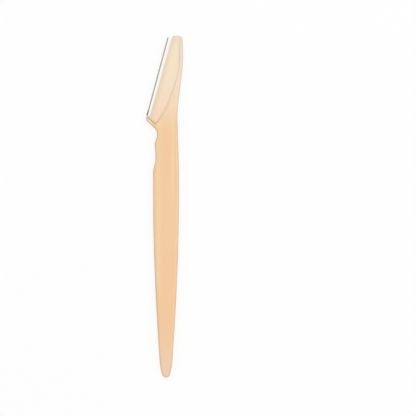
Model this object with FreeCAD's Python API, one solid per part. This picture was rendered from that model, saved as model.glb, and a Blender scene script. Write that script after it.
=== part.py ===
import FreeCAD, Part
import math
import os

from FreeCAD import Vector

# Eyebrow razor with a fixed, slanted blade, lying on its back.
# It is drawn about the neck: X across, towards the spine, Y along the handle, towards the head, and Z up
# from the middle plane, where the blade lies. At the end it is set down with its origin under its middle.
# Lengths are in millimetres and angles in degrees.

# Grip
GRIP_LENGTH = 106.7
GRIP_WIDTH = 11.45
GRIP_THICKNESS = 3.8
WIDEST_BELOW_SHOULDER = 4.7
TIP_RADIUS = 1.8
TIP_THICKNESS = 3.0
LEVEL_LENGTH = 50.0
LEVEL_BELOW_NOTCH = 2.0
CROWN_DROP = 0.42
EDGE_RADIUS = 1.15
EDGE_RADIUS_LIMIT_SHARE = 0.94
# Corners of a side, from the widest part to the tip, as shares of the way there, of half the width and,
# for the run of the arc each side of the corner, of the way again
GRIP_SIDE_SHARES = ((0.38, 1.0, 0.37), (0.945, 0.47, 0.03))
# At the poles of the front, from the tip to the top: shares of the drop to the tip, of the drop to the top
# and of the crown
FRONT_SHARES = (
    (1.0, 0.0, 1.0),
    (0.0, 0.0, 1.0),
    (0.0, 0.0, 1.0),
    (0.0, 0.0, 1.0),
    (0.0, 0.0, 0.3),
    (0.0, 1.0, 0.0),
)
# At the poles of the rear, from the grip to the top: shares of its rise to the top
REAR_SHARES = (0.0, 0.3, 1.0, 1.0, 1.0)

# Finger notch, on the blade's side of the grip
NOTCH_LENGTH = 16.0
NOTCH_DEPTH = 1.69
# Corners from the shoulder to the neck: shares of the notch's length, depth and, for the radius, length
NOTCH_SHARES = (
    (1.0, 0.0, 0.375),
    (0.719, 0.627, 0.219),
    (0.506, 0.627, 0.5),
    (0.2375, 0.39, 0.1125),
    (-0.0625, 1.52, 0.2625),
)

# Blade
BLADE_LENGTH = 35.5
BLADE_WIDTH = 5.2
BLADE_THICKNESS = 0.25
BLADE_ANGLE = 15.0
BEVEL_WIDTH = 0.9
EDGE_REACH = 8.7
EDGE_RISE = 8.4

# Guard, a sheet folded over the blade's edge
GUARD_SHEET = 0.15
GUARD_CLEARANCE = 0.05
SLOT_WIDTH = 0.4
SLOT_PITCH = 0.8
SLOT_DEPTH = 0.7

# Head
TOP_MARGIN = 0.6
TOP_THICKNESS = 2.7
TOP_CORNER_RADIUS = 2.2
SPINE_WALL = 2.11
PLATE_THICKNESS = 2.4
TOE_DROP = 2.12
TOE_SETBACK = 0.3
TOE_NOSE = 0.15
SEAM_DROP = 0.6
SEAM_CORNER_DROP = 2.75
SEAM_CORNER_INSET = 4.8
SEAM_CORNER_RADIUS = 0.5
BARE_STEEL_AT_TOE = 1.65
BARE_STEEL_AT_TOP = 2.2
BORDER_ROUND_WIDTH = 2.2
BORDER_LIP = 0.42
SHOULDER_ANGLE = 58.0
# Back of the head, from the neck up, as shares of its height, of the spine's reach and, for the radius,
# of its height again
SPINE_SHARES = ((0.222, 0.643, 0.92), (0.734, 1.0, 1.6))
SPINE_START_RADIUS_SHARE = 1.386
TOP_REACH_SHARE = 0.954
# Ridge between the spine and the cover plate, from the seam's corner up, as shares of the same three sizes
RIDGE_SHARES = ((0.238, -0.079, 0.577), (0.628, 0.73, 0.808))
RIDGE_TOP_REACH_SHARE = 0.814

# Fits
SEAM_GAP = 0.04
TOE_GAP = 0.2
END_GAP = 0.05
PIN_RADIUS = 0.6
PIN_HEIGHT = 0.45
PIN_INSET = 1.0
PIN_CLEARANCE = 0.05
PIN_TO_GUARD = 0.2
PIN_PLACE_SHARES = (0.2, 0.8)
CUT_OVERRUN = 4.0

half_width = GRIP_WIDTH / 2
widest_down = NOTCH_LENGTH + WIDEST_BELOW_SHOULDER
level_end = -NOTCH_LENGTH - LEVEL_BELOW_NOTCH
reach = EDGE_REACH + CUT_OVERRUN
half_blade = BLADE_THICKNESS / 2
half_guard = half_blade + GUARD_SHEET
half_plate = PLATE_THICKNESS / 2
guard_width = BLADE_WIDTH - PIN_INSET - PIN_RADIUS - PIN_TO_GUARD
head_height = EDGE_RISE + BLADE_LENGTH * math.cos(math.radians(BLADE_ANGLE)) + TOP_MARGIN
edge_radius = min(EDGE_RADIUS, EDGE_RADIUS_LIMIT_SHARE * min(TOP_THICKNESS, TIP_THICKNESS) / 2)
border_slope = (BARE_STEEL_AT_TOP - BARE_STEEL_AT_TOE) / BLADE_LENGTH
up = Vector(0, 0, 1)

# Along the edge is local Y, from its toe end, and inward from the edge is local X.
blade_place = FreeCAD.Placement(Vector(-EDGE_REACH, EDGE_RISE, 0), FreeCAD.Rotation(up, -BLADE_ANGLE))


def by_blade(inward, along):
    """A point of the middle plane, inward from the edge and along it from its toe end."""
    return blade_place.multVec(Vector(inward, along, 0))


spine_reach = by_blade(BLADE_WIDTH, BLADE_LENGTH).x + SPINE_WALL


def rounded_path(corners):
    """Straight runs through (point, radius) corners, with a tangent arc at each corner but the two ends."""
    edges = []
    start = corners[0][0]
    for (before, _), (corner, radius), (after, _) in zip(corners, corners[1:], corners[2:]):
        back = (before - corner).normalize()
        ahead = (after - corner).normalize()
        half_turn = back.getAngle(ahead) / 2
        run_in = corner + back * (radius / math.tan(half_turn))
        run_out = corner + ahead * (radius / math.tan(half_turn))
        middle = corner + (back + ahead).normalize() * (radius / math.sin(half_turn) - radius)
        edges.append(Part.LineSegment(start, run_in).toShape())
        edges.append(Part.Arc(run_in, middle, run_out).toShape())
        start = run_out
    edges.append(Part.LineSegment(start, corners[-1][0]).toShape())
    return edges


def polygon(points):
    """A flat face with straight sides."""
    return Part.Face(Part.makePolygon(points + points[:1]))


def prism(face, bottom, top):
    """The space over a face of the middle plane, between two heights."""
    return face.translated(up * bottom).extrude(up * (top - bottom))


def grip_side(side):
    """Corners of one long side of the grip, below its widest part, down to the end arc of the tip."""
    way = GRIP_LENGTH - widest_down
    points = [Vector(side * half_width, -widest_down, 0)]
    for down_share, width_share, _ in GRIP_SIDE_SHARES:
        points.append(Vector(side * half_width * width_share, -widest_down - way * down_share, 0))
    to_centre = Vector(0, TIP_RADIUS - GRIP_LENGTH, 0) - points[-1]
    lean = math.asin(TIP_RADIUS / to_centre.Length)
    tangent = FreeCAD.Rotation(up, side * math.degrees(lean)).multVec(to_centre)
    points.append(points[-1] + tangent * math.cos(lean))
    corners = []
    for before, corner, after, shares in zip(points, points[1:], points[2:], GRIP_SIDE_SHARES):
        half_turn = (before - corner).getAngle(after - corner) / 2
        corners.append((corner, way * shares[2] * math.tan(half_turn)))
    return corners + [(points[-1], 0)]


def head_corners(shares):
    """Corners of an outline of the head, with their radii."""
    corners = []
    for rise_share, reach_share, radius_share in shares:
        corner = Vector(spine_reach * reach_share, head_height * rise_share, 0)
        corners.append((corner, head_height * radius_share))
    return corners


def plan_face():
    """Outline of the whole razor seen from the front, with the blade's place filled in."""
    right = grip_side(1)
    left = grip_side(-1)
    back = [(Vector(half_width, -NOTCH_LENGTH, 0), SPINE_START_RADIUS_SHARE * head_height)]
    back += head_corners(SPINE_SHARES)
    back.append((Vector(spine_reach * TOP_REACH_SHARE, head_height, 0), TOP_CORNER_RADIUS))
    toe = by_blade(TOE_SETBACK, -TOE_DROP)
    edge_line = by_blade(TOE_SETBACK, BLADE_LENGTH) - toe
    top_left = toe + edge_line * ((head_height - toe.y) / edge_line.y)
    front = [(top_left, TOP_CORNER_RADIUS), (toe, edge_radius + TOE_NOSE)]
    for down_share, depth_share, radius_share in reversed(NOTCH_SHARES):
        corner = Vector(NOTCH_DEPTH * depth_share - half_width, -NOTCH_LENGTH * down_share, 0)
        front.append((corner, NOTCH_LENGTH * radius_share))
    edges = rounded_path(right[::-1] + back + front + left)
    edges.append(Part.Arc(left[-1][0], Vector(0, -GRIP_LENGTH, 0), right[-1][0]).toShape())
    return Part.Face(Part.Wire(Part.__sortEdges__(edges)))


def cubic_places(knots):
    """Places of a cubic curve's poles, at which it runs evenly along its knots."""
    every = knots[:1] * 3 + knots + knots[-1:] * 3
    return [sum(every[number + 1:number + 4]) / 3 for number in range(len(knots) + 2)]


def cubic_counts(knots):
    """How often each knot of a cubic curve counts, so that it starts and ends at its end poles."""
    return [4] + [1] * (len(knots) - 2) + [4]


def front_face():
    """The whole front, crowned across, level along much of the grip and thinning towards both ends."""
    knots = [-GRIP_LENGTH, level_end - LEVEL_LENGTH, level_end, head_height]
    tip_drop = GRIP_THICKNESS - TIP_THICKNESS
    top_drop = (GRIP_THICKNESS - TOP_THICKNESS) / 2
    bow = CROWN_DROP * (reach / half_width) ** 2
    poles = []
    for across, sag in ((-reach, bow), (0, -bow), (reach, bow)):
        row = []
        for place, (tip_share, top_share, crown_share) in zip(cubic_places(knots), FRONT_SHARES):
            drop = tip_drop * tip_share + top_drop * top_share + sag * crown_share
            row.append(Vector(across, place, GRIP_THICKNESS / 2 - drop))
        poles.append(row)
    surface = Part.BSplineSurface()
    surface.buildFromPolesMultsKnots(
        poles, (3, 3), cubic_counts(knots), (0, 1), knots, False, False, 2, 3
    )
    return surface.toShape()


def rear_head_face():
    """The rear over the neck and the head, which rises from the flat of the grip at a slight bend."""
    knots = [level_end, EDGE_RISE, head_height]
    rise = (GRIP_THICKNESS - TOP_THICKNESS) / 2
    poles = []
    for place, share in zip(cubic_places(knots), REAR_SHARES):
        poles.append(Vector(-reach, place, rise * share - GRIP_THICKNESS / 2))
    curve = Part.BSplineCurve()
    curve.buildFromPolesMultsKnots(poles, cubic_counts(knots), knots, False, 3)
    return curve.toShape().extrude(Vector(2 * reach, 0, 0))


def is_wall(face):
    """Whether a face stands square to the middle plane."""
    first_u, last_u, first_v, last_v = face.ParameterRange
    normal = face.normalAt((first_u + last_u) / 2, (first_v + last_v) / 2)
    return math.isclose(normal.z, 0, abs_tol=1e-6)


def moulded_form():
    """The razor's outer form, thinning towards both ends, with both its rims rounded over."""
    flat_length = GRIP_LENGTH + CUT_OVERRUN + level_end
    flat_corner = Vector(-reach, level_end - flat_length, -3 * GRIP_THICKNESS / 2)
    outside = [
        front_face().extrude(up * 2 * GRIP_THICKNESS),
        rear_head_face().extrude(up * -GRIP_THICKNESS),
        Part.makeBox(2 * reach, flat_length, GRIP_THICKNESS, flat_corner),
    ]
    blank = prism(plan_face(), -GRIP_THICKNESS, GRIP_THICKNESS).cut(outside)
    rims = []
    for edge in blank.Edges:
        walls = [is_wall(face) for face in blank.ancestorsOfType(edge, Part.Face)]
        if walls.count(True) == 1:
            rims.append(edge)
    return blank.makeFillet(edge_radius, rims)


def pocket_face(grow, toe_gap=0):
    """The cover plate's place in the head, open towards the blade and the top, grown all round."""
    corner = by_blade(SEAM_CORNER_INSET, toe_gap - SEAM_CORNER_DROP)
    seam = by_blade(0, toe_gap - SEAM_DROP) - corner
    seam_end = corner + seam * ((-reach - corner.x) / seam.x)
    ridge_end = Vector(spine_reach * RIDGE_TOP_REACH_SHARE, head_height + CUT_OVERRUN, 0)
    far_corner = Vector(-reach, ridge_end.y, 0)
    corners = [(seam_end, 0), (corner, SEAM_CORNER_RADIUS)] + head_corners(RIDGE_SHARES) + [(ridge_end, 0)]
    path = rounded_path(corners)
    path.append(Part.LineSegment(ridge_end, far_corner).toShape())
    path.append(Part.LineSegment(far_corner, seam_end).toShape())
    face = Part.Face(Part.Wire(Part.__sortEdges__(path)))
    if grow == 0:
        return face
    return Part.Face(face.OuterWire.makeOffset2D(grow, join=2))


def step_space(side):
    """What is cut away over the plate on one side of the head, with a sloping shoulder at the ridge."""
    rise = GRIP_THICKNESS - PLATE_THICKNESS
    low = pocket_face(0).OuterWire.translated(up * side * half_plate)
    grown = pocket_face(rise * math.tan(math.radians(SHOULDER_ANGLE)))
    high = grown.OuterWire.translated(up * side * (half_plate + rise))
    return Part.makeLoft([low, high], True, True)


def bare_space():
    """Where the steel stands clear of the plastic, through the whole thickness."""
    far = BLADE_LENGTH + CUT_OVERRUN
    points = [
        by_blade(-CUT_OVERRUN, -END_GAP),
        by_blade(BARE_STEEL_AT_TOE - border_slope * END_GAP, -END_GAP),
        by_blade(BARE_STEEL_AT_TOE + border_slope * far, far),
        by_blade(-CUT_OVERRUN, far),
    ]
    return prism(polygon(points), -GRIP_THICKNESS, GRIP_THICKNESS)


def border_round(side):
    """What is cut away along the plastic's border, to a curve from a lip up to the plate's face."""
    lip = half_guard + BORDER_LIP
    rise = half_plate - lip
    radius = (BORDER_ROUND_WIDTH ** 2 + rise ** 2) / (2 * rise)
    half_turn = math.asin(BORDER_ROUND_WIDTH / radius) / 2
    start = Vector(0, 0, side * lip)
    end = Vector(BORDER_ROUND_WIDTH, 0, side * half_plate)
    middle = end - Vector(radius * math.sin(half_turn), 0, side * radius * (1 - math.cos(half_turn)))
    clear = Vector(0, 0, side * (half_plate + rise))
    edges = [
        Part.Arc(start, middle, end).toShape(),
        Part.makePolygon([end, clear + Vector(BORDER_ROUND_WIDTH, 0, 0), clear, start]),
    ]
    cut = Part.Face(Part.Wire(edges)).extrude(Vector(0, BLADE_LENGTH + CUT_OVERRUN, 0))
    turn = FreeCAD.Rotation(up, -math.degrees(math.atan(border_slope)))
    cut.Placement = blade_place * FreeCAD.Placement(Vector(BARE_STEEL_AT_TOE, 0, 0), turn)
    return cut


def steel_space(width, half_thickness):
    """The room that a strip of the blade's length takes, open past its edge."""
    length = BLADE_LENGTH + 2 * END_GAP
    corner = Vector(-CUT_OVERRUN, -END_GAP, -half_thickness)
    room = Part.makeBox(width + SEAM_GAP + CUT_OVERRUN, length, 2 * half_thickness, corner)
    room.Placement = blade_place
    return room


def pin_rods(radius, bottom, top):
    """Round rods at the places of the locating pins."""
    rods = []
    for place_share in PIN_PLACE_SHARES:
        foot = by_blade(BLADE_WIDTH - PIN_INSET, BLADE_LENGTH * place_share) + up * bottom
        rods.append(Part.makeCylinder(radius, top - bottom, foot, up))
    return rods


def make_handle(form):
    """Grip, neck, spine and toe with the rear half of the head, in one moulding."""
    handle = form.cut(bare_space())
    handle = handle.cut(prism(pocket_face(0), half_blade, half_plate))
    handle = handle.cut([step_space(1), step_space(-1), border_round(-1)])
    handle = handle.cut([steel_space(guard_width, half_guard), steel_space(BLADE_WIDTH, half_blade)])
    return handle.fuse(pin_rods(PIN_RADIUS, -half_guard, half_blade + PIN_HEIGHT)).removeSplitter()


def make_cover_plate(form):
    """Front half of the head, which clamps the blade and the guard down."""
    cover = form.common(prism(pocket_face(-SEAM_GAP, TOE_GAP), half_blade, half_plate))
    sockets = pin_rods(PIN_RADIUS + PIN_CLEARANCE, 0, half_blade + PIN_HEIGHT + PIN_CLEARANCE)
    return cover.cut([bare_space(), border_round(1), steel_space(guard_width, half_guard)] + sockets)


def make_blade():
    """Flat strip, ground on both sides to an edge just inside the guard's fold."""
    edge = GUARD_SHEET + GUARD_CLEARANCE
    points = [
        Vector(edge, 0, 0),
        Vector(edge + BEVEL_WIDTH, 0, half_blade),
        Vector(BLADE_WIDTH, 0, half_blade),
        Vector(BLADE_WIDTH, 0, -half_blade),
        Vector(edge + BEVEL_WIDTH, 0, -half_blade),
    ]
    blade = polygon(points).extrude(Vector(0, BLADE_LENGTH, 0))
    blade.Placement = blade_place
    return blade.cut(pin_rods(PIN_RADIUS + PIN_CLEARANCE, -GRIP_THICKNESS, GRIP_THICKNESS))


def make_blade_guard():
    """Thin sheet pressed to a blunt fold round the edge, with a row of slots across the fold."""
    fold = half_guard
    outside = [
        Vector(guard_width, 0, half_guard),
        Vector(fold, 0, half_guard),
        Vector(0, 0, GUARD_SHEET),
        Vector(0, 0, -GUARD_SHEET),
        Vector(fold, 0, -half_guard),
        Vector(guard_width, 0, -half_guard),
    ]
    inside = [
        Vector(guard_width, 0, -half_blade),
        Vector(fold, 0, -half_blade),
        Vector(GUARD_SHEET, 0, 0),
        Vector(fold, 0, half_blade),
        Vector(guard_width, 0, half_blade),
    ]
    guard = polygon(outside + inside).extrude(Vector(0, BLADE_LENGTH, 0))
    count = int(BLADE_LENGTH / SLOT_PITCH) - 1
    first = (BLADE_LENGTH - (count - 1) * SLOT_PITCH - SLOT_WIDTH) / 2
    slots = []
    for number in range(count):
        corner = Vector(-CUT_OVERRUN, first + number * SLOT_PITCH, -GRIP_THICKNESS)
        slots.append(Part.makeBox(CUT_OVERRUN + SLOT_DEPTH, SLOT_WIDTH, 2 * GRIP_THICKNESS, corner))
    guard = guard.cut(slots)
    guard.Placement = blade_place
    return guard


def main():
    """Build every piece, set the razor down with its origin under its middle and write the pieces."""
    form = moulded_form()
    pieces = {
        "handle": make_handle(form),
        "cover_plate": make_cover_plate(form),
        "blade": make_blade(),
        "blade_guard": make_blade_guard(),
    }
    box = Part.Compound(list(pieces.values())).optimalBoundingBox(False, False)
    set_down = Vector(-box.Center.x, -box.Center.y, -box.ZMin)
    os.makedirs("parts", exist_ok=True)
    for name, shape in pieces.items():
        shape.translated(set_down).exportStep(f"parts/{name}.step")
        print(name, shape.isValid(), len(shape.Solids), round(shape.Volume, 3))


main()
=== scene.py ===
"""Looks of an eyebrow razor: peach plastic, a pale cover plate and bright steel, in a plain white studio."""
import logging
import math
from dataclasses import dataclass
from enum import Enum
from typing import ClassVar

import bpy
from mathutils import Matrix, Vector


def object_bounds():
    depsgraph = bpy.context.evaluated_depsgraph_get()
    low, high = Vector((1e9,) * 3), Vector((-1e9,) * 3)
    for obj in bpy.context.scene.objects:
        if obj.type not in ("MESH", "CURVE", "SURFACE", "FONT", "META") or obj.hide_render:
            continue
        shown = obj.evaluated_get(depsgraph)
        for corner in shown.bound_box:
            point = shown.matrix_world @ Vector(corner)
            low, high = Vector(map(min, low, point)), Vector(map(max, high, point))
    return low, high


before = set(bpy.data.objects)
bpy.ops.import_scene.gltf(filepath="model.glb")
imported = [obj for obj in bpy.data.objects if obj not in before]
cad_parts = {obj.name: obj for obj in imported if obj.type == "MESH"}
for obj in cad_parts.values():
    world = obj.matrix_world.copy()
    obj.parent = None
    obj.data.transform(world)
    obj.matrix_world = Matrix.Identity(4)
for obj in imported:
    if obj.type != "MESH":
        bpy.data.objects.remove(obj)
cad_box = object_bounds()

log = logging.getLogger("razor")

Triple = tuple[float, float, float]
Colour = tuple[float, float, float]
Stops = tuple[tuple[float, Colour], ...]

MM = 0.001
MIDDLE_HEIGHT = (cad_box[0].z + cad_box[1].z) / 2
WHITE: Colour = (1.0, 1.0, 1.0)
NOISE_MIDDLE = 0.5
FINE_DETAIL = 3.0


class Node(Enum):
    """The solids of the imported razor."""

    HANDLE = "handle"
    COVER = "cover_plate"
    BLADE = "blade"
    GUARD = "blade_guard"


class Graph:
    """Adds shader nodes to one node tree and links them."""

    def __init__(self, tree: bpy.types.NodeTree) -> None:
        """Start from an empty tree.

        Args:
            tree: The node tree of a material or of the world.
        """
        tree.nodes.clear()
        self.tree = tree

    def node(self, kind: str, settings: dict | None = None, inputs: dict | None = None) -> bpy.types.Node:
        """Add a node.

        Args:
            kind: The node's type.
            settings: Properties of the node, set before its sockets are filled.
            inputs: Values or links of its sockets, by name or by number.

        Returns:
            The new node.
        """
        node = self.tree.nodes.new(kind)
        for name, value in (settings or {}).items():
            if name == "stops":
                self._set_stops(node.color_ramp, value)
            else:
                setattr(node, name, value)
        for key, value in (inputs or {}).items():
            self._fill(self._socket(node.inputs, key), value)
        return node

    def _set_stops(self, ramp: bpy.types.ColorRamp, stops: Stops) -> None:
        """Fill a colour ramp.

        Args:
            ramp: The ramp of a new node, with its two first stops.
            stops: Positions from zero to one, in order, with their colours.
        """
        ramp.interpolation = "EASE"
        for position, _ in stops[1:-1]:
            ramp.elements.new(position)
        for element, (position, colour) in zip(ramp.elements, stops):
            element.position = position
            element.color = (*colour, 1.0)

    def _socket(self, sockets: bpy.types.bpy_prop_collection, key: str | int) -> bpy.types.NodeSocket:
        """Find a socket in use.

        Args:
            sockets: A node's inputs or outputs.
            key: The socket's name, or its number among all of them.

        Returns:
            The socket.
        """
        if isinstance(key, int):
            return sockets[key]
        return next(socket for socket in sockets if socket.enabled and socket.name == key)

    def _fill(self, socket: bpy.types.NodeSocket, value: object) -> None:
        """Link a socket, or set its own value.

        Args:
            socket: The input to fill.
            value: A wrapped socket, a socket, a number, or the numbers of a colour or vector.
        """
        if isinstance(value, Value):
            value = value.socket
        if isinstance(value, bpy.types.NodeSocket):
            self.tree.links.new(value, socket)
        elif socket.type == "RGBA" and len(value) == 3:
            socket.default_value = (*value, 1.0)
        else:
            socket.default_value = value

    def out(self, node: bpy.types.Node, key: str | int = 0) -> bpy.types.NodeSocket:
        """An output of a node, by name or by number."""
        return self._socket(node.outputs, key)

    def value(self, node: bpy.types.Node, key: str | int = 0) -> "Value":
        """An output of a node, ready for arithmetic."""
        return Value(self, self.out(node, key))

    def place(self) -> bpy.types.NodeSocket:
        """The point's place in the razor's frame, in metres."""
        return self.out(self.node("ShaderNodeTexCoord"), "Object")

    def split(self, vector: bpy.types.NodeSocket) -> tuple["Value", "Value", "Value"]:
        """The three numbers of a vector."""
        parts = self.node("ShaderNodeSeparateXYZ", inputs={"Vector": vector})
        return tuple(self.value(parts, axis) for axis in "XYZ")

    def stretched(self, vector: bpy.types.NodeSocket, factors: Triple) -> bpy.types.NodeSocket:
        """A vector with each of its numbers times a factor of its own."""
        scaled = self.node("ShaderNodeVectorMath", {"operation": "MULTIPLY"}, {0: vector, 1: factors})
        return self.out(scaled, "Vector")

    def noise(self, vector: bpy.types.NodeSocket, detail: float = 2.0) -> "Value":
        """Smooth noise with features about one unit of the vector apart.

        Args:
            vector: Where the noise is read.
            detail: How many finer layers are added.

        Returns:
            A number that lies around one half.
        """
        inputs = {"Vector": vector, "Scale": 1.0, "Detail": detail}
        return self.value(self.node("ShaderNodeTexNoise", inputs=inputs), "Fac")

    def tones(self, along: "Value", stops: Stops) -> bpy.types.NodeSocket:
        """A colour that changes along the razor.

        Args:
            along: The place along the razor, in metres.
            stops: Places in order, with their colours.

        Returns:
            The socket of the colour.
        """
        start, end = stops[0][0], stops[-1][0]
        shares = tuple(((place - start) / (end - start), colour) for place, colour in stops)
        inputs = {"Fac": (along - start) * (1 / (end - start))}
        return self.out(self.node("ShaderNodeValToRGB", {"stops": shares}, inputs), "Color")

    def blend(self, factor: "Value", first: object, second: object) -> bpy.types.NodeSocket:
        """A colour between two others.

        Args:
            factor: Zero for the first colour, one for the second.
            first: A colour or a colour socket.
            second: A colour or a colour socket.

        Returns:
            The socket of the mixed colour.
        """
        settings = {"data_type": "RGBA", "clamp_factor": True}
        inputs = {"Factor": factor, "A": first, "B": second}
        return self.out(self.node("ShaderNodeMix", settings, inputs), "Result")

    def bump(
        self, height: "Value", depth: float, strength: float, under: bpy.types.NodeSocket | None = None
    ) -> bpy.types.NodeSocket:
        """A normal that follows a fine relief.

        Args:
            height: The relief's height, from zero to one.
            depth: The distance between zero and one, in metres.
            strength: How much of the relief shows.
            under: The normal of a relief that this one is added to.

        Returns:
            The socket of the normal.
        """
        inputs = {"Strength": strength, "Distance": depth, "Height": height}
        if under is not None:
            inputs["Normal"] = under
        return self.out(self.node("ShaderNodeBump", inputs=inputs))


@dataclass(frozen=True)
class Value:
    """A number that varies over a surface, with Python's arithmetic."""

    graph: Graph
    socket: bpy.types.NodeSocket

    def _math(self, operation: str, *terms: object) -> "Value":
        """Add a Math node.

        Args:
            operation: What the node does.
            terms: Its operands in order.

        Returns:
            The result.
        """
        node = self.graph.node("ShaderNodeMath", {"operation": operation}, dict(enumerate(terms)))
        return self.graph.value(node)

    def __add__(self, other: object) -> "Value":
        """This plus another."""
        return self._math("ADD", self, other)

    __radd__ = __add__

    def __sub__(self, other: object) -> "Value":
        """This less another."""
        return self._math("SUBTRACT", self, other)

    def __rsub__(self, other: object) -> "Value":
        """Another less this."""
        return self._math("SUBTRACT", other, self)

    def __mul__(self, other: object) -> "Value":
        """This times another."""
        return self._math("MULTIPLY", self, other)

    __rmul__ = __mul__

    def __abs__(self) -> "Value":
        """The size of this, without its sign."""
        return self._math("ABSOLUTE", self)

    def larger(self, other: object) -> "Value":
        """The larger of this and another."""
        return self._math("MAXIMUM", self, other)

    def rise(self, low: float, high: float) -> "Value":
        """A smooth step.

        Args:
            low: Where the step starts, at zero.
            high: Where it has reached one.

        Returns:
            A number from zero to one.
        """
        settings = {"interpolation_type": "SMOOTHSTEP"}
        inputs = {"Value": self, "From Min": low, "From Max": high}
        return self.graph.value(self.graph.node("ShaderNodeMapRange", settings, inputs), "Result")


@dataclass(frozen=True)
class EdgeLine:
    """The blade's edge as a line in the razor's frame."""

    toe: Vector
    along: Vector
    inward: Vector

    @classmethod
    def of_guard(cls) -> "EdgeLine":
        """Find the edge on the guard's solid, whose fold runs along it.

        Returns:
            The line from the toe's end of the fold.
        """
        points = [vertex.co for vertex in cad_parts[Node.GUARD.value].data.vertices]
        toe = min(points, key=lambda point: point.x).copy()
        top = max(points, key=lambda point: point.y).copy()
        toe.z = top.z = 0.0
        along = (top - toe).normalized()
        return cls(toe, along, Vector((along.y, -along.x, 0.0)))

    def coordinates(self, graph: Graph, place: bpy.types.NodeSocket) -> tuple[Value, Value]:
        """Distances inward from the edge and along it from the toe.

        Args:
            graph: The graph that the nodes are added to.
            place: The point's place in the razor's frame.

        Returns:
            Both distances in metres.
        """
        offset = graph.node("ShaderNodeVectorMath", {"operation": "SUBTRACT"}, {0: place, 1: self.toe})
        found = []
        for direction in (self.inward, self.along):
            inputs = {0: graph.out(offset, "Vector"), 1: direction}
            part = graph.node("ShaderNodeVectorMath", {"operation": "DOT_PRODUCT"}, inputs)
            found.append(graph.value(part, "Value"))
        return tuple(found)


def new_material(name: str) -> tuple[bpy.types.Material, Graph]:
    """Start a material.

    Args:
        name: The material's name.

    Returns:
        The material, still without nodes, and its graph.
    """
    material = bpy.data.materials.new(name)
    material.use_nodes = True
    return material, Graph(material.node_tree)


def close_material(graph: Graph, shader: bpy.types.Node) -> None:
    """Send a shader to the material's output."""
    graph.node("ShaderNodeOutputMaterial", inputs={"Surface": graph.out(shader)})


def seen_directly(graph: Graph) -> Value:
    """Tell surfaces that are seen from surfaces that only light others.

    Args:
        graph: The graph that the nodes are added to.

    Returns:
        One where a surface is seen, straight, in a reflection or through glass, and zero where it lights.
    """
    path = graph.node("ShaderNodeLightPath")
    camera = graph.value(path, "Is Camera Ray")
    return camera.larger(graph.value(path, "Is Glossy Ray")).larger(graph.value(path, "Is Transmission Ray"))


@dataclass(frozen=True)
class MouldedPlastic:
    """Translucent satin plastic with a painted sheen stripe, pale streaks, a fine grain and a parting line.
    """

    name: str
    body: Stops
    # pale: the tones of the painted sheen stripe, also used for the streaks.
    pale: Stops
    # The next four set a pale stripe of painted sheen below the crown, leaning towards the blade's side.
    sheen_start: float = 1.42 * MM
    sheen_peak: float = 1.6 * MM
    sheen_end: float = 1.85 * MM
    sheen_lean: float = 0.06
    streak_share: float = 0.3
    roughness: float = 0.36
    grain_height: float = 0.004 * MM
    parting_height: float = 0.03 * MM
    parting_width: float = 0.12 * MM

    STREAK_ACROSS: ClassVar[float] = 1 / (1.6 * MM)
    STREAK_ALONG: ClassVar[float] = 1 / (45 * MM)
    STREAK_LOW: ClassVar[float] = 0.4
    STREAK_HIGH: ClassVar[float] = 0.75
    GRAIN: ClassVar[float] = 1 / (0.16 * MM)
    GRAIN_STRENGTH: ClassVar[float] = 0.35
    PARTING_STRENGTH: ClassVar[float] = 0.8
    CLOUD: ClassVar[float] = 1 / (7 * MM)
    CLOUD_SWING: ClassVar[float] = 0.12
    REFRACTION: ClassVar[float] = 1.49
    SUBSURFACE_WEIGHT: ClassVar[float] = 0.25
    SUBSURFACE_RADIUS: ClassVar[Triple] = (1.0, 0.55, 0.3)
    SUBSURFACE_SCALE: ClassVar[float] = 0.8 * MM

    def base_colour(self, graph: Graph, place: bpy.types.NodeSocket) -> bpy.types.NodeSocket:
        """The plastic's tones along the razor, with a painted sheen: a pale stripe below the crown on the
        blade's side.

        Args:
            graph: The material's graph.
            place: The point's place in the razor's frame.

        Returns:
            The socket of the colour.
        """
        across, along, height = graph.split(place)
        # Painted sheen: a pale stripe where the surface lies at a set height from the middle, tilted across
        # the grip.
        level = abs(height - MIDDLE_HEIGHT) + across * self.sheen_lean
        sheen = level.rise(self.sheen_start, self.sheen_peak) * (1 - level.rise(self.sheen_peak, self.sheen_end))
        lines = graph.stretched(place, (self.STREAK_ACROSS, self.STREAK_ALONG, self.STREAK_ACROSS))
        streaks = graph.noise(lines, FINE_DETAIL).rise(self.STREAK_LOW, self.STREAK_HIGH)
        share = sheen + streaks * self.streak_share
        return graph.blend(share, graph.tones(along, self.body), graph.tones(along, self.pale))

    def relief(self, graph: Graph, place: bpy.types.NodeSocket) -> bpy.types.NodeSocket:
        """The fine grain and the line where the halves of the mould met.

        Args:
            graph: The material's graph.
            place: The point's place in the razor's frame.

        Returns:
            The socket of the normal.
        """
        _, _, height = graph.split(place)
        grain = graph.noise(graph.stretched(place, (self.GRAIN,) * 3), FINE_DETAIL)
        line = 1 - abs(height - MIDDLE_HEIGHT).rise(0.0, self.parting_width)
        fine = graph.bump(grain, self.grain_height, self.GRAIN_STRENGTH)
        return graph.bump(line, self.parting_height, self.PARTING_STRENGTH, fine)

    def build(self) -> bpy.types.Material:
        """Make the material.

        Returns:
            The finished material.
        """
        material, graph = new_material(self.name)
        place = graph.place()
        clouds = graph.noise(graph.stretched(place, (self.CLOUD,) * 3))
        shader = graph.node(
            "ShaderNodeBsdfPrincipled",
            {"subsurface_method": "RANDOM_WALK"},
            {
                "Base Color": self.base_colour(graph, place),
                "Roughness": self.roughness + (clouds - NOISE_MIDDLE) * self.CLOUD_SWING,
                "IOR": self.REFRACTION,
                "Subsurface Weight": self.SUBSURFACE_WEIGHT,
                "Subsurface Radius": self.SUBSURFACE_RADIUS,
                "Subsurface Scale": self.SUBSURFACE_SCALE,
                "Normal": self.relief(graph, place),
            },
        )
        close_material(graph, shader)
        return material


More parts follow.
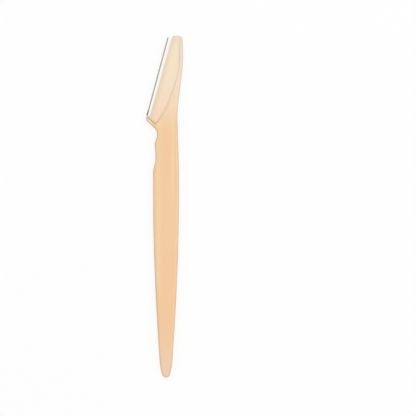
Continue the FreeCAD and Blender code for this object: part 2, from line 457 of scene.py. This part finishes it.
@dataclass(frozen=True)
class CreasedPlastic(MouldedPlastic):
    """The same plastic with a pale toe, and a faint crease along the neck beside the spine's rim, its flanks
    given a painted highlight and a painted shade.
    """

    toe: Colour = (0.86, 0.735, 0.46)
    toe_start: float = -4.4 * MM
    toe_end: float = -7 * MM
    crease_across: float = 4.3 * MM
    crease_width: float = 0.7 * MM
    crease_depth: float = 0.03 * MM
    crease_start: float = -2 * MM
    crease_end: float = 48 * MM
    crease_fade: float = 12 * MM
    painted_flank_share: float = 0.75
    flank_share: float = 0.75
    # lit and shaded: the painted highlight and the painted shade for the crease's two flanks.
    lit: Colour = (0.955, 0.69, 0.445)
    shaded: Colour = (0.86, 0.59, 0.34)

    CREASE_STRENGTH: ClassVar[float] = 1.0

    def crease(self, graph: Graph, place: bpy.types.NodeSocket, shift: float) -> Value:
        """How near a point is to the crease, or to a line beside it.

        Args:
            graph: The material's graph.
            place: The point's place in the razor's frame.
            shift: How far the line lies from the crease towards the spine's rim.

        Returns:
            One on the line, falling to zero at its sides and ends.
        """
        across, along, _ = graph.split(place)
        line = 1 - abs(across - (self.crease_across + shift)).rise(0.0, self.crease_width)
        start = along.rise(self.crease_start, self.crease_start + self.crease_fade)
        return line * start * (1 - along.rise(self.crease_end - self.crease_fade, self.crease_end))

    def base_colour(self, graph: Graph, place: bpy.types.NodeSocket) -> bpy.types.NodeSocket:
        """The plastic's colour, paler at the toe, with a painted highlight on one flank of the crease and a
        painted shade on the other.

        Args:
            graph: The material's graph.
            place: The point's place in the razor's frame.

        Returns:
            The socket of the colour.
        """
        across, _, _ = graph.split(place)
        toe = 1 - across.rise(self.toe_end, self.toe_start)
        colour = graph.blend(toe, super().base_colour(graph, place), self.toe)
        # Painted highlight on the flank towards the middle, painted shade on the flank towards the spine's
        # rim.
        flank = self.crease_width * self.flank_share
        for shift, tone in ((-flank, self.lit), (flank, self.shaded)):
            colour = graph.blend(self.crease(graph, place, shift) * self.painted_flank_share, colour, tone)
        return colour

    def relief(self, graph: Graph, place: bpy.types.NodeSocket) -> bpy.types.NodeSocket:
        """The grain and the parting line, with the crease sunk in.

        Args:
            graph: The material's graph.
            place: The point's place in the razor's frame.

        Returns:
            The socket of the normal.
        """
        height = 1 - self.crease(graph, place, 0.0)
        return graph.bump(height, self.crease_depth, self.CREASE_STRENGTH, super().relief(graph, place))


@dataclass(frozen=True)
class BorderedPlastic(MouldedPlastic):
    """The same plastic, greyer near the steel: partly the grey of plastic that thins out over it, partly
    painted shade.
    """

    border: Colour = (0.735, 0.65, 0.495)
    border_start: float = 1.6 * MM
    border_end: float = 4.8 * MM
    border_share: float = 0.8

    def base_colour(self, graph: Graph, place: bpy.types.NodeSocket) -> bpy.types.NodeSocket:
        """The plastic's colour, greyer near the blade's edge, partly as thin plastic over the steel and
        partly as painted shade.

        Args:
            graph: The material's graph.
            place: The point's place in the razor's frame.

        Returns:
            The socket of the colour.
        """
        colour = super().base_colour(graph, place)
        inward, _ = EdgeLine.of_guard().coordinates(graph, place)
        # Grey of the thin plastic, deepened and widened into painted shade.
        grey_and_shade = 1 - inward.rise(self.border_start, self.border_end)
        return graph.blend(grey_and_shade * self.border_share, colour, self.border)


@dataclass(frozen=True)
class RolledSteel:
    """Bright steel, rolled along the edge, with painted shade along the fold and a darker painted shadow at
    the fold's toe end.
    """

    name: str
    bright: Colour
    inner: Colour
    fold_shade: Colour
    toe_shadow: Colour
    fold_start: float
    fold_end: float
    inner_start: float = 0.9 * MM
    inner_end: float = 3.0 * MM
    toe_start: float = 1.28 * MM
    toe_end: float = 3.2 * MM
    roughness: float = 0.22

    LINE_ACROSS: ClassVar[float] = 1 / (0.05 * MM)
    LINE_ALONG: ClassVar[float] = 1 / (3 * MM)
    LINE_DEPTH: ClassVar[float] = 0.002 * MM
    LINE_STRENGTH: ClassVar[float] = 0.2
    LINE_SWING: ClassVar[float] = 0.15

    def base_colour(self, graph: Graph, inward: Value, along: Value) -> bpy.types.NodeSocket:
        """The steel's colour, with painted shade along the fold and a painted shadow at its toe end.

        Args:
            graph: The material's graph.
            inward: The distance from the edge.
            along: The distance along the edge from its toe end.

        Returns:
            The socket of the colour.
        """
        sheet = graph.blend(inward.rise(self.inner_start, self.inner_end), self.bright, self.inner)
        # Painted shade at the fold, darkest as a painted shadow of the handle's toe at the toe end.
        fold_shading = graph.blend(1 - along.rise(self.toe_start, self.toe_end), self.fold_shade, self.toe_shadow)
        return graph.blend(1 - inward.rise(self.fold_start, self.fold_end), sheet, fold_shading)

    def build(self) -> bpy.types.Material:
        """Make the material.

        Returns:
            The finished material.
        """
        material, graph = new_material(self.name)
        inward, along = EdgeLine.of_guard().coordinates(graph, graph.place())
        lines = {"X": inward * self.LINE_ACROSS, "Y": along * self.LINE_ALONG}
        rolled = graph.noise(graph.out(graph.node("ShaderNodeCombineXYZ", inputs=lines)), FINE_DETAIL)
        shader = graph.node(
            "ShaderNodeBsdfPrincipled",
            inputs={
                "Base Color": self.base_colour(graph, inward, along),
                "Metallic": 1.0,
                "Roughness": self.roughness + (rolled - NOISE_MIDDLE) * self.LINE_SWING,
                "Normal": graph.bump(rolled, self.LINE_DEPTH, self.LINE_STRENGTH),
            },
        )
        close_material(graph, shader)
        return material


@dataclass(frozen=True)
class PaleFloor:
    """White studio floor that shows as white and keeps a faint shadow."""

    name: str = "studio_white"
    shown: Colour = (0.97, 0.97, 0.97)
    lighting: Colour = (0.64, 0.64, 0.64)
    white_share: float = 0.85

    def build(self) -> bpy.types.Material:
        """Make the material.

        Returns:
            The finished material.
        """
        material, graph = new_material(self.name)
        dull = graph.node("ShaderNodeBsdfDiffuse", inputs={"Color": self.lighting})
        lit = graph.node("ShaderNodeBsdfDiffuse", inputs={"Color": self.shown})
        white = graph.node("ShaderNodeEmission", inputs={"Color": WHITE})
        inputs = {0: self.white_share, 1: graph.out(lit), 2: graph.out(white)}
        seen = graph.node("ShaderNodeMixShader", inputs=inputs)
        inputs = {0: seen_directly(graph), 1: graph.out(dull), 2: graph.out(seen)}
        close_material(graph, graph.node("ShaderNodeMixShader", inputs=inputs))
        return material


@dataclass
class Handle:
    """The grip, neck and rear half of the head, in one peach moulding."""

    finish: CreasedPlastic = CreasedPlastic(
        name="peach_plastic",
        body=(
            (-75 * MM, (0.885, 0.645, 0.44)),
            (-50 * MM, (0.916, 0.60, 0.348)),
            (31 * MM, (0.916, 0.61, 0.35)),
            (46 * MM, (0.918, 0.712, 0.505)),
            (55 * MM, (0.925, 0.715, 0.57)),
            (60 * MM, (0.90, 0.715, 0.575)),
            (67 * MM, (0.82, 0.72, 0.57)),
        ),
        # Tones of the painted sheen stripe, also used for the streaks.
        pale=(
            (-75 * MM, (0.885, 0.655, 0.45)),
            (-50 * MM, (0.916, 0.60, 0.35)),
            (-25 * MM, (0.912, 0.66, 0.405)),
            (14 * MM, (0.91, 0.665, 0.41)),
            (32 * MM, (0.916, 0.63, 0.37)),
            (46 * MM, (0.918, 0.73, 0.52)),
            (64 * MM, (0.86, 0.75, 0.59)),
        ),
    )

    def dress(self) -> list[bpy.types.Object]:
        """Give the moulding its plastic."""
        return [dressed(Node.HANDLE, self.finish.build())]


@dataclass
class CoverPlate:
    """The pale plate that clamps the blade on the front of the head."""

    finish: BorderedPlastic = BorderedPlastic(
        name="pale_plastic",
        body=(
            (36 * MM, (0.925, 0.665, 0.47)),
            (48 * MM, (0.94, 0.735, 0.555)),
            (58 * MM, (0.94, 0.77, 0.595)),
            (66 * MM, (0.915, 0.775, 0.585)),
            (75 * MM, (0.885, 0.75, 0.56)),
        ),
        # Tones of the painted sheen stripe, also used for the streaks.
        pale=((36 * MM, (0.93, 0.69, 0.50)), (75 * MM, (0.92, 0.79, 0.62))),
        sheen_lean=0.0,
        parting_height=0.0,
    )

    def dress(self) -> list[bpy.types.Object]:
        """Give the plate its plastic."""
        return [dressed(Node.COVER, self.finish.build())]


@dataclass
class Cutter:
    """The blade and the slotted guard folded over its edge."""

    guard: RolledSteel = RolledSteel(
        name="guard_sheet",
        bright=(0.93, 0.88, 0.81),
        inner=(0.84, 0.76, 0.66),
        # The next two are painted shade along the fold and a painted shadow at its toe end.
        fold_shade=(0.30, 0.30, 0.29),
        toe_shadow=(0.09, 0.09, 0.09),
        fold_start=0.45 * MM,
        fold_end=0.75 * MM,
    )
    blade: RolledSteel = RolledSteel(
        name="ground_steel",
        bright=(0.62, 0.63, 0.65),
        inner=(0.62, 0.63, 0.65),
        # The next two are painted shade along the fold and a painted shadow at its toe end.
        fold_shade=(0.16, 0.16, 0.16),
        toe_shadow=(0.05, 0.05, 0.05),
        fold_start=0.9 * MM,
        fold_end=1.2 * MM,
        roughness=0.3,
    )

    def dress(self) -> list[bpy.types.Object]:
        """Give both pieces their steel."""
        return [dressed(Node.BLADE, self.blade.build()), dressed(Node.GUARD, self.guard.build())]


def dressed(node: Node, material: bpy.types.Material) -> bpy.types.Object:
    """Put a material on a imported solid.

    Args:
        node: Which solid.
        material: Its finish.

    Returns:
        The solid's object.
    """
    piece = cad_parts[node.value]
    piece.material_slots[0].material = material
    return piece


@dataclass(frozen=True)
class Softbox:
    """A large soft lamp that looks at the razor's middle."""

    name: str
    azimuth: float
    power: float
    elevation: float = 48.0
    distance: float = 1.5
    size: float = 0.9

    def build(self) -> None:
        """Hang the lamp."""
        lamp = bpy.data.lights.new(self.name, "AREA")
        lamp.shape = "SQUARE"
        lamp.size = self.size
        lamp.energy = self.power
        turn, rise = math.radians(self.azimuth), math.radians(self.elevation)
        direction = Vector((math.cos(rise) * math.sin(turn), math.cos(rise) * math.cos(turn), math.sin(rise)))
        piece = bpy.data.objects.new(self.name, lamp)
        piece.location = direction * self.distance
        piece.rotation_euler = direction.to_track_quat("Z", "Y").to_euler()
        bpy.context.scene.collection.objects.link(piece)


@dataclass
class Studio:
    """Floor, light and camera."""

    floor_size: float = 8.0
    floor_drop: float = 0.02 * MM
    ambient: float = 0.3
    lens: float = 200.0
    sensor: float = 36.0
    view_width: float = 182.56 * MM
    view_centre: tuple[float, float] = (19.06 * MM, -0.59 * MM)
    softboxes: tuple[Softbox, ...] = (
        Softbox("left_softbox", azimuth=-80, power=4.65),
        Softbox("right_softbox", azimuth=75, power=7.1),
        Softbox("head_softbox", azimuth=5, power=5.75),
        Softbox("tip_softbox", azimuth=180, power=4.65),
    )

    def build_floor(self) -> None:
        """Lay the floor that the razor rests on."""
        half = self.floor_size / 2
        corners = [(-half, -half, 0), (half, -half, 0), (half, half, 0), (-half, half, 0)]
        mesh = bpy.data.meshes.new("floor")
        mesh.from_pydata(corners, [], [(0, 1, 2, 3)])
        mesh.materials.append(PaleFloor().build())
        floor = bpy.data.objects.new("floor", mesh)
        floor.location.z = -self.floor_drop
        bpy.context.scene.collection.objects.link(floor)

    def build_world(self) -> None:
        """Fill the room with even light and a white surround."""
        world = bpy.data.worlds.new("white_room")
        world.use_nodes = True
        graph = Graph(world.node_tree)
        strength = self.ambient + seen_directly(graph) * (1 - self.ambient)
        room = graph.node("ShaderNodeBackground", inputs={"Color": WHITE, "Strength": strength})
        graph.node("ShaderNodeOutputWorld", inputs={"Surface": graph.out(room)})
        bpy.context.scene.world = world

    def build_camera(self) -> None:
        """Look straight down at the razor."""
        camera = bpy.data.cameras.new("camera")
        camera.lens = self.lens
        camera.sensor_width = self.sensor
        eye = bpy.data.objects.new("camera", camera)
        eye.location = (*self.view_centre, MIDDLE_HEIGHT + self.view_width * self.lens / self.sensor)
        bpy.context.scene.collection.objects.link(eye)
        bpy.context.scene.camera = eye

    def build(self) -> None:
        """Set up the whole studio."""
        self.build_floor()
        self.build_world()
        self.build_camera()
        for softbox in self.softboxes:
            softbox.build()
        bpy.context.scene.view_settings.view_transform = "Standard"


def main() -> None:
    """Dress every piece and set up the studio."""
    logging.basicConfig(level=logging.INFO)
    for assembly in (Handle(), CoverPlate(), Cutter()):
        for piece in assembly.dress():
            log.info("%s: %s", type(assembly).__name__, piece.name)
    Studio().build()


if __name__ == "__main__":
    main()
